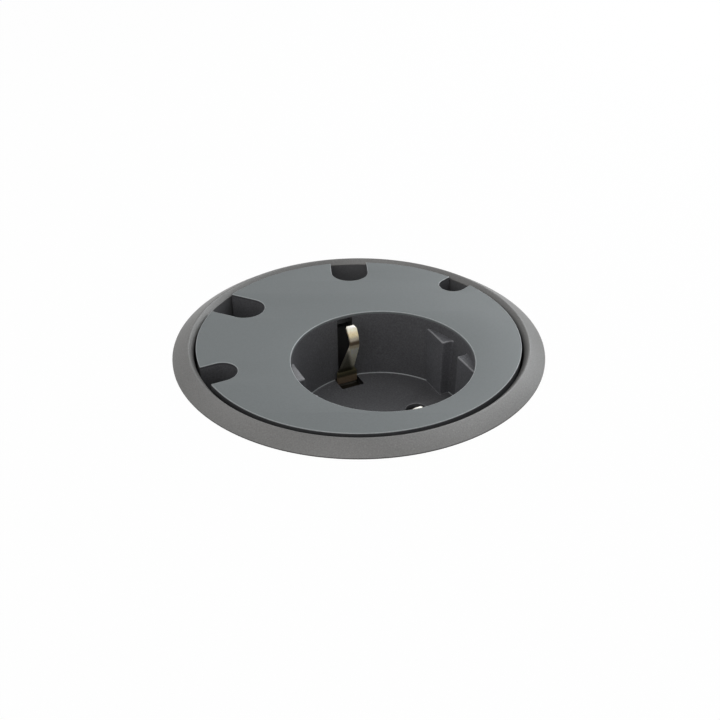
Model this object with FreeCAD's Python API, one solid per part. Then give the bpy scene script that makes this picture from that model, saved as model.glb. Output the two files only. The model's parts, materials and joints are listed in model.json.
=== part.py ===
import FreeCAD, Part
import math
import os

# Round in-desk power module: a flange and sleeve for a desk cut-out, an insert with four cable
# notches under a thin cover plate, and an earthed socket whose well hangs below it.
# Millimetres. The origin is the centre of the cut-out on the desk's top face, +Z is up.
# The socket has its own frame: X runs through the two pins, Y through the two earth clips.

Vector = FreeCAD.Vector
UP = Vector(0, 0, 1)
ORIGIN = Vector(0, 0, 0)

# Mounting sleeve, whose size follows the plate inside it
CUTOUT_CLEARANCE = 0.3
SLEEVE_WALL = 1.0
SLEEVE_DEPTH = 16.0
SLEEVE_LEAD_IN = 0.8
SLEEVE_FLANGE_W = 1.5
SLEEVE_FLANGE_T = 1.0
LIP_W = 2.4
LIP_T = 1.5

# Trim ring, whose flange lies on the desk around the cut-out
FLANGE_LAP = 3.6
FLANGE_EDGE_H = 0.25
RIDGE_PAST_SLEEVE = 0.1
RIDGE_Z = 2.6
RIDGE_ROUND = 0.45
BEVEL_EDGE_H = 0.22
TRIM_GAP = 0.1

# Cover plate, whose rim follows the socket below it
PLATE_GAP = 0.6
PLATE_TOP = 2.2
PLATE_T = 0.6
PLATE_EDGE_ROUND = 0.25

# Insert body, the moulding that the cover plate is bonded to
DECK_T = 1.5
DECK_GAP = 0.1
SKIRT_WALL = 1.5
CHANNEL_WALL = 1.2
BOSS_WEB_T = 1.2
BOSS_WEB_UP = 1.0

# Cable notches: each one's width, depth from the plate's rim, and direction in degrees
BACK_LEFT_NOTCH_W = 9.4
BACK_LEFT_NOTCH_DEPTH = 11.9
BACK_LEFT_NOTCH_ANGLE = 155.4
BACK_NOTCH_W = 9.6
BACK_NOTCH_DEPTH = 10.6
BACK_NOTCH_ANGLE = 94.4
LEFT_NOTCH_W = 7.5
LEFT_NOTCH_DEPTH = 7.5
LEFT_NOTCH_ANGLE = 207.0
RIGHT_BACK_NOTCH_W = 6.8
RIGHT_BACK_NOTCH_DEPTH = 6.6
RIGHT_BACK_NOTCH_ANGLE = 46.0

# Socket place and well
SOCKET_OUT = 11.1
SOCKET_DIRECTION = -60.4
SOCKET_TURN = 25.7
MOUTH_D = 41.8
WELL_TOP_STEP = 0.05
WELL_DEPTH = 17.9
WELL_TAPER = 0.4
WELL_WALL = 1.4
WELL_FLOOR_T = 1.2
WELL_CORNER = 0.4
COLLAR_W = 1.8
COLLAR_T = 2.0
COLLAR_RIB_SHARE = 0.75
FLATS_IN = 3.15
FLATS_BELOW = 2.85
FLATS_ROUND = 0.4
FLATS_FOOT_ROUND = 0.3
GUIDE_SLOT_W = 6.6
GUIDE_SLOT_ROUND = 1.2
PIN_PITCH = 19.0
PIN_D = 4.8
PIN_HOLE_GAP = 0.3
PIN_HOLE_LEAD = 0.3
PIN_LENGTH = 19.0
PIN_END_GAP = 0.7

# Earth bow: how far its tip, curl, knee and foot lie in from the mouth and below the plate's top
EARTH_T = 0.8
EARTH_TIP_IN = 3.6
EARTH_TIP_BELOW = 0.9
EARTH_CURL_IN = 5.2
EARTH_CURL_BELOW = 3.1
EARTH_KNEE_IN = 6.0
EARTH_KNEE_BELOW = 5.1
EARTH_FOOT_IN = 1.2
EARTH_FOOT_BELOW = 14.6
EARTH_CURL_BEND = 5.0
EARTH_BEND = 1.2
EARTH_FOOT_BEND = 3.0
FRONT_CLIP_DROP = 2.1

# Earth bow: widths of its clips at the tip, knee and waist, and of their foot and the bridge
EARTH_TIP_W = 2.6
EARTH_TIP_ROUND = 0.8
EARTH_KNEE_W = 2.4
EARTH_WAIST_W = 3.6
EARTH_WAIST_BELOW = 13.4
EARTH_WAIST_ROUND = 3.0
EARTH_FOOT_W = 5.4
EARTH_FOOT_TOP_BELOW = 15.8
EARTH_FOOT_ROUND = 0.5

# Slots of the well's wall and openings of its floor for the earth clips
EARTH_SLOT_W = 4.0
EARTH_SLOT_BELOW = 1.4
EARTH_OPENING_GAP = 0.3
EARTH_OPENING_IN = 3.9

# Earth strap and rivet
STRAP_W = 4.0
STRAP_PAST_HEAD = 0.4
STRAP_END = 1.2
RIVET_D = 2.4
RIVET_HEAD_D = 4.0
RIVET_HEAD_H = 0.6
RIVET_HEAD_ROUND = 0.36

# Pin contacts
CONTACT_T = 0.7
CONTACT_W = 5.6
CONTACT_GRIP = 0.6
CONTACT_PINCH_BELOW = 4.0
CONTACT_MOUTH = 6.6
CONTACT_HEEL = 5.4
CONTACT_BEND = 1.0
CONTACT_TAIL_W = 3.6
CONTACT_TAIL_Y = 1.0
FIT_GAP = 0.05

# Contact carrier
CARRIER_GAP = 0.4
CARRIER_WEB = 1.6
CHAMBER_SIDE_GAP = 1.2
CHAMBER_END_GAP = 0.85
GROOVE_GAP = 0.2
GROOVE_ROOM = 0.1
WIRE_POCKET_Y = 6.4
WIRE_POCKET_WALL = 1.6
WIRE_POCKET_ROOF = 3.2
BARRIER_T = 1.2
BARRIER_H = 4.6
SLOT_GAP = 0.25

# Terminals and their screws
TERMINAL_W = 6.4
TERMINAL_L = 8.0
TERMINAL_H = 7.0
TERMINAL_ROOF = 1.0
TERMINAL_FLOOR = 1.8
TERMINAL_SIDE = 1.0
TERMINAL_ROOM = 0.92
TERMINAL_SCREW_D = 3.0
TERMINAL_SCREW_HEAD_D = 5.0
TERMINAL_SCREW_HEAD_H = 1.6
TERMINAL_SCREW_OUT = 0.4
TERMINAL_SCREW_IN = 1.6

# Rear housing and its lugs
HOUSING_GAP = 0.2
HOUSING_WALL = 1.6
HOUSING_STEP = 2.4
HOUSING_BASE_ROOM = 0.7
LUG_R = 3.3
LUG_T = 3.0
LUG_WEB_W = 4.6
LUG_BELOW_COLLAR = 8.1
LUG_GAP = 0.2
LUG_SPREAD = 85.0
HOUSING_ROOM = 1.4

# Bottom cover and cable inlet
COVER_T = 1.6
SPIGOT_H = 1.4
SPIGOT_W = 1.2
SPIGOT_GAP = 0.1
PILLAR_R = 2.7
PILLAR_IN = 3.6
PILLAR_Y = 6.2
INLET_IN = 9.2
CABLE_D = 7.0
CABLE_GAP = 0.1
GROMMET_WALL = 1.4
GROMMET_FLANGE_W = 1.6
GROMMET_FLANGE_T = 1.2
GROMMET_TOP_W = 1.0
GROMMET_ROUND = 0.3
GROMMET_NOSE = 2.0
GROMMET_NOSE_WALL = 1.0
GROMMET_NOSE_SLOPE = 0.5

# Self-tapping screws
SCREW_D = 3.0
SCREW_HEAD_D = 5.6
SCREW_HEAD_H = 1.8
SCREW_HEAD_ROUND = 0.9
SCREW_LENGTH = 8.0
SCREW_POINT_W = 0.4
SCREW_POINT_H = 0.8
SCREW_HOLE_GAP = 0.2
THREAD_GAP = 0.02
BORE_BEYOND_TIP = 1.0
BOSS_WALL = 1.6
RECESS_W = 0.8
RECESS_ARM = 1.5
RECESS_DEPTH = 0.9
INSERT_SCREW_IN = 4.9
INSERT_NOTCH_ANGLE = 17.0
INSERT_LUG_WALL = 1.9
PAST = 1.0

# Worked-out sizes of the well
MOUTH_R = MOUTH_D / 2
WELL_R = MOUTH_R + WELL_WALL
COLLAR_R = WELL_R + COLLAR_W
PLATE_UNDER = PLATE_TOP - PLATE_T
DECK_UNDER = PLATE_UNDER - DECK_T
COLLAR_UNDER = DECK_UNDER - COLLAR_T
FLOOR_R = MOUTH_R - WELL_TAPER
FLOOR_Z = PLATE_TOP - WELL_DEPTH
FLOOR_UNDER = FLOOR_Z - WELL_FLOOR_T
FLAT_X = MOUTH_R - FLATS_IN
PIN_X = PIN_PITCH / 2
PIN_HOLE_R = PIN_D / 2 + PIN_HOLE_GAP
HOUSING_BORE_R = WELL_R + HOUSING_GAP
HOUSING_R = HOUSING_BORE_R + HOUSING_WALL

# Worked-out radii of the plate, sleeve and trim, from the housing outwards
SKIRT_R = SOCKET_OUT + HOUSING_R + HOUSING_ROOM
PLATE_R = SKIRT_R + SKIRT_WALL
SLEEVE_BORE_R = PLATE_R + PLATE_GAP
SLEEVE_R = SLEEVE_BORE_R + SLEEVE_WALL
SLEEVE_FLANGE_R = SLEEVE_R + SLEEVE_FLANGE_W
LIP_R = SLEEVE_BORE_R - LIP_W
LIP_TOP = LIP_T - SLEEVE_DEPTH
CUTOUT_R = SLEEVE_R + CUTOUT_CLEARANCE
FLANGE_R = CUTOUT_R + FLANGE_LAP
RIDGE_R = SLEEVE_R + RIDGE_PAST_SLEEVE
BEVEL_Z = SLEEVE_FLANGE_T + BEVEL_EDGE_H

# Worked-out places of the notches, the socket and the screws that hold the insert
NOTCHES = [
    (BACK_LEFT_NOTCH_ANGLE, BACK_LEFT_NOTCH_W, PLATE_R - BACK_LEFT_NOTCH_DEPTH),
    (BACK_NOTCH_ANGLE, BACK_NOTCH_W, PLATE_R - BACK_NOTCH_DEPTH),
    (LEFT_NOTCH_ANGLE, LEFT_NOTCH_W, PLATE_R - LEFT_NOTCH_DEPTH),
    (RIGHT_BACK_NOTCH_ANGLE, RIGHT_BACK_NOTCH_W, PLATE_R - RIGHT_BACK_NOTCH_DEPTH),
]
SOCKET_X = SOCKET_OUT * math.cos(math.radians(SOCKET_DIRECTION))
SOCKET_Y = SOCKET_OUT * math.sin(math.radians(SOCKET_DIRECTION))
LUG_DIRECTION = SOCKET_DIRECTION + 180
INSERT_SCREW_R = PLATE_R - INSERT_SCREW_IN
INSERT_SCREW_ANGLES = (
    RIGHT_BACK_NOTCH_ANGLE - INSERT_NOTCH_ANGLE,
    (BACK_NOTCH_ANGLE + BACK_LEFT_NOTCH_ANGLE) / 2,
    LEFT_NOTCH_ANGLE - INSERT_NOTCH_ANGLE,
)

# Worked-out spans of the earth parts and of what they lie in
EARTH_TIP_Y = MOUTH_R - EARTH_TIP_IN
EARTH_CURL_Y = MOUTH_R - EARTH_CURL_IN
EARTH_KNEE_Y = MOUTH_R - EARTH_KNEE_IN
EARTH_FOOT_Y = MOUTH_R - EARTH_FOOT_IN
EARTH_OPENING_W = EARTH_FOOT_W + 2 * EARTH_OPENING_GAP
STRAP_DROP_Y = -RIVET_HEAD_D / 2 - STRAP_PAST_HEAD - CONTACT_BEND
STRAP_FOOT_Y = RIVET_HEAD_D / 2 + STRAP_END
GROOVE_W = EARTH_FOOT_W + 2 * GROOVE_GAP
GROOVE_DEPTH = EARTH_T + GROOVE_ROOM
CONTACT_PINCH = PIN_D - CONTACT_GRIP
CHAMBER_X = CONTACT_W + 2 * CHAMBER_SIDE_GAP
CHAMBER_Y = CONTACT_MOUTH + CONTACT_T + 2 * CHAMBER_END_GAP

# Worked-out heights of the contacts and terminals
BOW_Z = FLOOR_UNDER - FIT_GAP - EARTH_T / 2
STRAP_Z = BOW_Z - EARTH_T / 2 - CONTACT_T / 2
FORK_BASE_Z = FLOOR_Z - PIN_LENGTH - PIN_END_GAP - CONTACT_T / 2
CHAMBER_FLOOR = FORK_BASE_Z - CONTACT_T / 2 - FIT_GAP
CARRIER_UNDER = CHAMBER_FLOOR - CARRIER_WEB
TERMINAL_TOP = CARRIER_UNDER
TERMINAL_UNDER = TERMINAL_TOP - TERMINAL_H
TAIL_Z = TERMINAL_TOP - TERMINAL_ROOF - FIT_GAP - CONTACT_T / 2

# Worked-out sizes of the housing
CARRIER_R = HOUSING_BORE_R - CARRIER_GAP
BASE_BORE_R = HOUSING_BORE_R - HOUSING_STEP
BASE_R = BASE_BORE_R + HOUSING_WALL
SCREW_HEADS_UNDER = TERMINAL_UNDER - TERMINAL_SCREW_OUT - TERMINAL_SCREW_HEAD_H
HOUSING_UNDER = SCREW_HEADS_UNDER - HOUSING_BASE_ROOM
COVER_UNDER = HOUSING_UNDER - COVER_T
SHELF_Z = CARRIER_UNDER
SCREW_R = SCREW_D / 2
BOSS_R = SCREW_R + BOSS_WALL
LUG_TOP = COLLAR_UNDER - LUG_BELOW_COLLAR
LUG_UNDER = LUG_TOP - LUG_T
LUG_CENTRE_R = HOUSING_R + LUG_R + LUG_GAP
PILLAR_X = BASE_BORE_R - PILLAR_IN
INLET_Y = BASE_BORE_R - INLET_IN
CABLE_R = CABLE_D / 2 + CABLE_GAP
GROMMET_R = CABLE_R + GROMMET_WALL


def corner(before, at, after, radius):
    """Start, middle and end of the round of a radius at one point of an outline."""
    ax, ay = before[0] - at[0], before[1] - at[1]
    bx, by = after[0] - at[0], after[1] - at[1]
    a_len, b_len = math.hypot(ax, ay), math.hypot(bx, by)
    ax, ay, bx, by = ax / a_len, ay / a_len, bx / b_len, by / b_len
    half = math.acos(max(-1.0, min(1.0, ax * bx + ay * by))) / 2
    back = radius / math.tan(half)
    mx, my = ax + bx, ay + by
    m_len = math.hypot(mx, my)
    reach = radius / math.sin(half)
    cx, cy = at[0] + mx / m_len * reach, at[1] + my / m_len * reach
    start = (at[0] + ax * back, at[1] + ay * back)
    end = (at[0] + bx * back, at[1] + by * back)
    middle = (cx - mx / m_len * radius, cy - my / m_len * radius)
    return start, middle, end, (cx, cy)


def outline(points, rounds):
    """Closed wire through points in the XZ plane, with a round at each point named in rounds."""
    count = len(points)
    corners = []
    for i, point in enumerate(points):
        if i in rounds:
            corners.append(corner(points[i - 1], point, points[(i + 1) % count], rounds[i])[:3])
        else:
            corners.append((point, None, point))
    at = lambda p: Vector(p[0], 0, p[1])
    edges = []
    for i, (start, middle, end) in enumerate(corners):
        if middle:
            edges.append(Part.Arc(at(start), at(middle), at(end)).toShape())
        following = corners[(i + 1) % count][0]
        edges.append(Part.LineSegment(at(end), at(following)).toShape())
    return Part.Wire(edges)


def turned(points, rounds=None):
    """Solid of revolution about Z from an outline of (radius, height) points."""
    return Part.Face(outline(points, rounds or {})).revolve(ORIGIN, UP, 360)


def strip(points, bends, thickness, width, x=0.0):
    """Bent strip of sheet metal: its middle line runs in the YZ plane, its width along X.

    There is one bend radius for each inner point of the line."""
    sides = ([], [])
    for sign, side in ((1, sides[0]), (-1, sides[1])):
        shift = sign * thickness / 2
        place = offset_start(points[0], points[1], shift)
        for i, bend in enumerate(bends, start=1):
            start, middle, end, centre = corner(points[i - 1], points[i], points[i + 1], bend)
            turn = cross(points[i - 1], points[i], points[i + 1])
            grown = 1 - shift / bend if turn > 0 else 1 + shift / bend
            arc = [scaled_about(centre, p, grown) for p in (start, middle, end)]
            side.append((place, None, arc[0]))
            side.append((arc[0], arc[1], arc[2]))
            place = arc[2]
        last = offset_start(points[-1], points[-2], -shift)
        side.append((place, None, last))
    back = [(end, middle, start) for start, middle, end in reversed(sides[1])]
    loop = sides[0] + [(sides[0][-1][2], None, back[0][0])] + back
    loop.append((back[-1][2], None, sides[0][0][0]))
    at = lambda p: Vector(x - width / 2, p[0], p[1])
    edges = []
    for start, middle, end in loop:
        if middle:
            edges.append(Part.Arc(at(start), at(middle), at(end)).toShape())
        else:
            edges.append(Part.LineSegment(at(start), at(end)).toShape())
    return Part.Face(Part.Wire(edges)).extrude(Vector(width, 0, 0))


def cross(a, b, c):
    """Positive where the path a, b, c turns to the left."""
    return (b[0] - a[0]) * (c[1] - b[1]) - (b[1] - a[1]) * (c[0] - b[0])


def offset_start(point, towards, shift):
    """The point moved sideways, to the left of the way towards its neighbour."""
    dx, dy = towards[0] - point[0], towards[1] - point[1]
    length = math.hypot(dx, dy)
    return point[0] - dy / length * shift, point[1] + dx / length * shift


def scaled_about(centre, point, factor):
    return (centre[0] + (point[0] - centre[0]) * factor, centre[1] + (point[1] - centre[1]) * factor)


def block(x0, x1, y0, y1, z0, z1):
    return Part.makeBox(x1 - x0, y1 - y0, z1 - z0, Vector(x0, y0, z0))


def rod(radius, z0, z1, x=0.0, y=0.0):
    return Part.makeCylinder(radius, z1 - z0, Vector(x, y, z0), UP)


def polar(radius, degrees):
    return radius * math.cos(math.radians(degrees)), radius * math.sin(math.radians(degrees))


def in_socket(shape):
    """Move a shape from the socket's own frame to its place under the plate."""
    placed = shape.copy()
    placed.rotate(ORIGIN, UP, SOCKET_TURN)
    placed.translate(Vector(SOCKET_X, SOCKET_Y, 0))
    return placed


def notch_prism(notch, grown, z0, z1):
    """U-shaped prism of a cable notch, open towards the rim, made larger all round by grown."""
    direction, width, end = notch
    half = width / 2
    middle = end + half
    reach = SLEEVE_R + PAST
    prism = rod(half + grown, z0, z1, middle, 0)
    prism = prism.fuse(block(middle, reach, -half - grown, half + grown, z0, z1))
    prism.rotate(ORIGIN, UP, direction)
    return prism


def lug_places():
    """Centres of the three housing screws, round the outside of the housing."""
    places = []
    for turn in (-LUG_SPREAD, 0.0, LUG_SPREAD):
        x, y = polar(LUG_CENTRE_R, LUG_DIRECTION + turn)
        places.append((SOCKET_X + x, SOCKET_Y + y, LUG_DIRECTION + turn))
    return places


def insert_places():
    """Centres of the three screws that hold the insert in the sleeve."""
    return [polar(INSERT_SCREW_R, degrees) + (degrees,) for degrees in INSERT_SCREW_ANGLES]


def screw(head_d, head_h, shank_d, length):
    """Pan-head screw pointing up, with its head's seat at z = 0 and a cross recess below."""
    head_r, shank_r = head_d / 2, shank_d / 2
    points = [
        (0, length), (shank_r - SCREW_POINT_W, length), (shank_r, length - SCREW_POINT_H),
        (shank_r, 0), (head_r, 0), (head_r, -head_h), (0, -head_h),
    ]
    body = turned(points, {5: SCREW_HEAD_ROUND})
    for across, along in ((RECESS_W / 2, RECESS_ARM), (RECESS_ARM, RECESS_W / 2)):
        body = body.cut(block(-across, across, -along, along, -head_h - PAST, RECESS_DEPTH - head_h))
    return body


def self_tapper():
    return screw(SCREW_HEAD_D, SCREW_HEAD_H, SCREW_D, SCREW_LENGTH)


def boss_with_bore(x, y, z0, seat_t):
    """Boss under the deck and the blind bore for a screw whose head is seat_t below it."""
    boss = rod(BOSS_R, z0, DECK_UNDER, x, y)
    tip = z0 - seat_t + SCREW_LENGTH + BORE_BEYOND_TIP
    bore = rod(SCREW_R + THREAD_GAP, z0 - PAST, tip, x, y)
    return boss, bore


def trim_ring():
    """Metal flange with a steep outer cone, a rounded ridge and a bevel down to the plate."""
    lap = SLEEVE_FLANGE_R + TRIM_GAP
    points = [
        (lap, 0), (FLANGE_R, 0), (FLANGE_R, FLANGE_EDGE_H), (RIDGE_R, RIDGE_Z),
        (SLEEVE_BORE_R, BEVEL_Z), (SLEEVE_BORE_R, SLEEVE_FLANGE_T), (lap, SLEEVE_FLANGE_T),
    ]
    return turned(points, {3: RIDGE_ROUND})


def mounting_sleeve():
    """Tube for the cut-out with a thin flange above and a lip below that carries the insert."""
    points = [
        (SLEEVE_BORE_R, SLEEVE_FLANGE_T), (SLEEVE_BORE_R, LIP_TOP), (LIP_R, LIP_TOP),
        (LIP_R, -SLEEVE_DEPTH), (SLEEVE_R - SLEEVE_LEAD_IN / 2, -SLEEVE_DEPTH),
        (SLEEVE_R, SLEEVE_LEAD_IN - SLEEVE_DEPTH), (SLEEVE_R, 0), (SLEEVE_FLANGE_R, 0),
        (SLEEVE_FLANGE_R, SLEEVE_FLANGE_T),
    ]
    sleeve = turned(points)
    within = rod(SLEEVE_BORE_R, -SLEEVE_DEPTH - PAST, LIP_TOP + PAST)
    for notch in NOTCHES:
        sleeve = sleeve.cut(notch_prism(notch, 0, -SLEEVE_DEPTH - PAST, LIP_TOP + PAST).common(within))
    hole_r = SCREW_R + SCREW_HOLE_GAP
    lug_r = hole_r + INSERT_LUG_WALL
    for x, y, degrees in insert_places():
        web = block(INSERT_SCREW_R, LIP_R + PAST, -lug_r, lug_r, -SLEEVE_DEPTH, LIP_TOP)
        web.rotate(ORIGIN, UP, degrees)
        sleeve = sleeve.fuse([rod(lug_r, -SLEEVE_DEPTH, LIP_TOP, x, y), web])
        sleeve = sleeve.cut(rod(hole_r, -SLEEVE_DEPTH - PAST, LIP_TOP + PAST, x, y))
    return sleeve.removeSplitter()


def cover_plate():
    """Thin cover bonded to the deck, with its notches and the mouth, its top edges rounded."""
    disc = rod(PLATE_R, PLATE_UNDER, PLATE_TOP)
    disc = disc.cut([notch_prism(n, 0, PLATE_UNDER - PAST, PLATE_TOP + PAST) for n in NOTCHES])
    disc = disc.cut(rod(MOUTH_R, PLATE_UNDER - PAST, PLATE_TOP + PAST, SOCKET_X, SOCKET_Y))
    level = lambda e: abs(e.BoundBox.ZMin - PLATE_TOP) + abs(e.BoundBox.ZMax - PLATE_TOP) < 1e-6
    return disc.makeFillet(PLATE_EDGE_ROUND, [e for e in disc.Edges if level(e)])


def boss_web(x, y, z0):
    """Web that ties a boss to the skirt, straight out from the insert's middle."""
    start = math.hypot(x, y)
    web = block(start, SKIRT_R + SKIRT_WALL / 2, -BOSS_WEB_T / 2, BOSS_WEB_T / 2,
                z0 + BOSS_WEB_UP, DECK_UNDER)
    web.rotate(ORIGIN, UP, math.degrees(math.atan2(y, x)))
    return web


def collar_rib():
    """Rib under the deck that locates the well's collar."""
    bore_r = COLLAR_R + HOUSING_GAP
    low = DECK_UNDER - COLLAR_T * COLLAR_RIB_SHARE
    rib = rod(bore_r + CHANNEL_WALL, low, DECK_UNDER).cut(rod(bore_r, low, DECK_UNDER))
    rib.translate(Vector(SOCKET_X, SOCKET_Y, 0))
    return rib


def insert_body():
    """Deck, skirt, screw bosses and the U-shaped channel walls of the notches, moulded in one."""
    deck = rod(PLATE_R, DECK_UNDER, PLATE_UNDER)
    deck = deck.cut(rod(WELL_R + DECK_GAP, DECK_UNDER, PLATE_UNDER, SOCKET_X, SOCKET_Y))
    inside = rod(PLATE_R, LIP_TOP, DECK_UNDER)
    skirt = inside.cut(rod(SKIRT_R, LIP_TOP, DECK_UNDER))
    channels = [notch_prism(n, CHANNEL_WALL, LIP_TOP, DECK_UNDER).common(inside) for n in NOTCHES]
    seats = [(x, y, LUG_TOP, LUG_T) for x, y, _ in lug_places()]
    seats += [(x, y, LIP_TOP, LIP_T) for x, y, _ in insert_places()]
    bosses, bores = zip(*[boss_with_bore(*seat) for seat in seats])
    webs = [boss_web(x, y, z0) for x, y, z0, _ in seats]
    body = deck.fuse([skirt, collar_rib().common(inside)] + channels + list(bosses) + webs)
    body = body.cut([notch_prism(n, 0, LIP_TOP - PAST, PLATE_UNDER + PAST) for n in NOTCHES])
    return body.cut(list(bores)).removeSplitter()


def guide_flats():
    """The two flats beside the pins, each parted by a guide slot with rounded inner corners."""
    top = PLATE_TOP - FLATS_BELOW
    cavity = well_cavity()
    flats = []
    for side in (-1, 1):
        x0, x1 = sorted((side * FLAT_X, side * WELL_R))
        raised = block(x0, x1, -WELL_R, WELL_R, FLOOR_Z, top).common(cavity)
        for flat in raised.cut(guide_slot(side)).Solids:
            edges = [e for e in flat.Edges if is_flat_corner(e, side, top)]
            flats.append(flat.makeFillet(FLATS_ROUND, edges))
    return flats


def guide_slot(side):
    """Space of one guide slot, which ends at the well's wall."""
    x0, x1 = sorted((side * (FLAT_X - PAST), side * MOUTH_R))
    space = block(x0, x1, -GUIDE_SLOT_W / 2, GUIDE_SLOT_W / 2, FLOOR_Z - PAST, PLATE_TOP)
    far = [e for e in space.Edges
           if abs(abs(e.BoundBox.Center.x) - MOUTH_R) < 1e-6 and e.BoundBox.ZLength > PAST]
    return space.makeFillet(GUIDE_SLOT_ROUND, far)


def is_flat_corner(edge, side, top):
    """The upright edge beside the guide slot, and the top edge along the flat."""
    box = edge.BoundBox
    on_face = abs(box.XMin - side * FLAT_X) + abs(box.XMax - side * FLAT_X) < 1e-6
    by_slot = min(abs(box.YMin - s * GUIDE_SLOT_W / 2) + abs(box.YMax - s * GUIDE_SLOT_W / 2)
                  for s in (-1, 1)) < 1e-6
    on_top = abs(box.ZMin - top) + abs(box.ZMax - top) < 1e-6
    return on_face and (by_slot or on_top) and box.DiagonalLength > PLATE_EDGE_ROUND


def well_cavity():
    """The space inside the well, slightly tapered, with a rounded foot."""
    points = [
        (0, FLOOR_Z), (FLOOR_R, FLOOR_Z), (MOUTH_R - WELL_TOP_STEP, PLATE_UNDER), (0, PLATE_UNDER),
    ]
    return turned(points, {1: WELL_CORNER})


def socket_well():
    """Socket well: tapered wall, collar, floor with pin holes, and slots for the earth clips."""
    outside = turned([
        (0, FLOOR_UNDER), (WELL_R, FLOOR_UNDER), (WELL_R, COLLAR_UNDER), (COLLAR_R, COLLAR_UNDER),
        (COLLAR_R, DECK_UNDER), (WELL_R, DECK_UNDER), (WELL_R, PLATE_UNDER), (0, PLATE_UNDER),
    ])
    well = outside.cut(well_cavity()).fuse(guide_flats()).removeSplitter()
    well = well.makeFillet(FLATS_FOOT_ROUND, [e for e in well.Edges if is_flat_foot(e)])
    cuts = []
    for side in (-1, 1):
        cuts += earth_passage(side) + pin_hole(side * PIN_X)
    return in_socket(well.cut(cuts).removeSplitter())


def is_flat_foot(edge):
    """The straight edge where a flat meets the floor."""
    box = edge.BoundBox
    on_floor = abs(box.ZMin - FLOOR_Z) + abs(box.ZMax - FLOOR_Z) < 1e-6
    return on_floor and box.XLength < 1e-6 and abs(abs(box.Center.x) - FLAT_X) < 1e-6


def earth_passage(side):
    """Slot of the wall behind an earth clip and the wider opening of the floor at its foot."""
    y0, y1 = sorted((side * (EARTH_FOOT_Y - EARTH_OPENING_IN), side * COLLAR_R))
    slot = block(-EARTH_SLOT_W / 2, EARTH_SLOT_W / 2, y0, y1, FLOOR_UNDER - PAST,
                 PLATE_TOP - EARTH_SLOT_BELOW)
    y0, y1 = sorted((side * (EARTH_FOOT_Y - EARTH_OPENING_IN), side * FLOOR_R))
    opening = block(-EARTH_OPENING_W / 2, EARTH_OPENING_W / 2, y0, y1, FLOOR_UNDER - PAST,
                    FLOOR_Z + WELL_CORNER)
    return [slot, opening]


def pin_hole(x):
    """Hole for a pin and the lead-in at its top."""
    wide = PIN_HOLE_R + 2 * PIN_HOLE_LEAD
    lead = Part.makeCone(PIN_HOLE_R, wide, 2 * PIN_HOLE_LEAD, Vector(x, 0, FLOOR_Z - PIN_HOLE_LEAD), UP)
    return [rod(PIN_HOLE_R, FLOOR_UNDER - PAST, FLOOR_Z, x, 0), lead]


def clip_line(drop):
    """Middle line of one clip, whose upper part stands lower by drop, down to the bridge."""
    return [
        (EARTH_TIP_Y, PLATE_TOP - EARTH_TIP_BELOW - drop),
        (EARTH_CURL_Y, PLATE_TOP - EARTH_CURL_BELOW - drop),
        (EARTH_KNEE_Y, PLATE_TOP - EARTH_KNEE_BELOW - drop),
        (EARTH_FOOT_Y, PLATE_TOP - EARTH_FOOT_BELOW),
        (EARTH_FOOT_Y, BOW_Z),
    ]


def clip_outline(drop):
    """Outline of one clip and its foot, seen from the middle of the well."""
    right = [
        (EARTH_FOOT_W / 2, FLOOR_Z),
        (EARTH_FOOT_W / 2, PLATE_TOP - EARTH_FOOT_TOP_BELOW),
        (EARTH_WAIST_W / 2, PLATE_TOP - EARTH_WAIST_BELOW),
        (EARTH_KNEE_W / 2, PLATE_TOP - EARTH_KNEE_BELOW - drop),
        (EARTH_TIP_W / 2, PLATE_TOP - EARTH_TIP_BELOW - drop),
    ]
    left = [(-x, z) for x, z in reversed(right)]
    rounds = {1: EARTH_FOOT_ROUND, 2: EARTH_WAIST_ROUND, 4: EARTH_TIP_ROUND}
    rounds.update({9 - i: radius for i, radius in rounds.items()})
    return outline(right + left, rounds)


def earth_bow():
    """One bent strip: a sprung clip at each end and a bridge under the well's floor."""
    path = clip_line(0) + [(-y, z) for y, z in reversed(clip_line(FRONT_CLIP_DROP))]
    bends = [EARTH_CURL_BEND, EARTH_BEND, EARTH_FOOT_BEND, EARTH_BEND]
    bow = strip(path, bends + bends[::-1], EARTH_T, EARTH_FOOT_W)
    half = EARTH_FOOT_W / 2
    kept = block(-half, half, -WELL_R, WELL_R, BOW_Z - EARTH_T, FLOOR_Z)
    back = Part.Face(clip_outline(0)).extrude(Vector(0, WELL_R, 0))
    front = Part.Face(clip_outline(FRONT_CLIP_DROP)).extrude(Vector(0, -WELL_R, 0))
    hole = rod(RIVET_D / 2 + THREAD_GAP, BOW_Z - EARTH_T, BOW_Z + EARTH_T)
    return in_socket(bow.common(kept.fuse([back, front])).cut(hole).removeSplitter())


def earth_strap():
    """Strap riveted under the bow, which leads down through the carrier to its terminal."""
    path = [
        (STRAP_FOOT_Y, STRAP_Z), (STRAP_DROP_Y, STRAP_Z), (STRAP_DROP_Y, TAIL_Z),
        (terminal_end(0.0) + FIT_GAP, TAIL_Z),
    ]
    strap = strip(path, [CONTACT_BEND] * 2, CONTACT_T, STRAP_W)
    hole = rod(RIVET_D / 2 + THREAD_GAP, STRAP_Z - CONTACT_T, STRAP_Z + CONTACT_T)
    return in_socket(strap.cut(hole))


def earth_rivet():
    """Rivet through the bow and the strap, flush above and headed below."""
    under = STRAP_Z - CONTACT_T / 2
    shank = rod(RIVET_D / 2, under, BOW_Z + EARTH_T / 2)
    head = turned(
        [(0, under), (RIVET_HEAD_D / 2, under), (RIVET_HEAD_D / 2, under - RIVET_HEAD_H),
         (0, under - RIVET_HEAD_H)],
        {2: RIVET_HEAD_ROUND},
    )
    return in_socket(shank.fuse(head))


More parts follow.
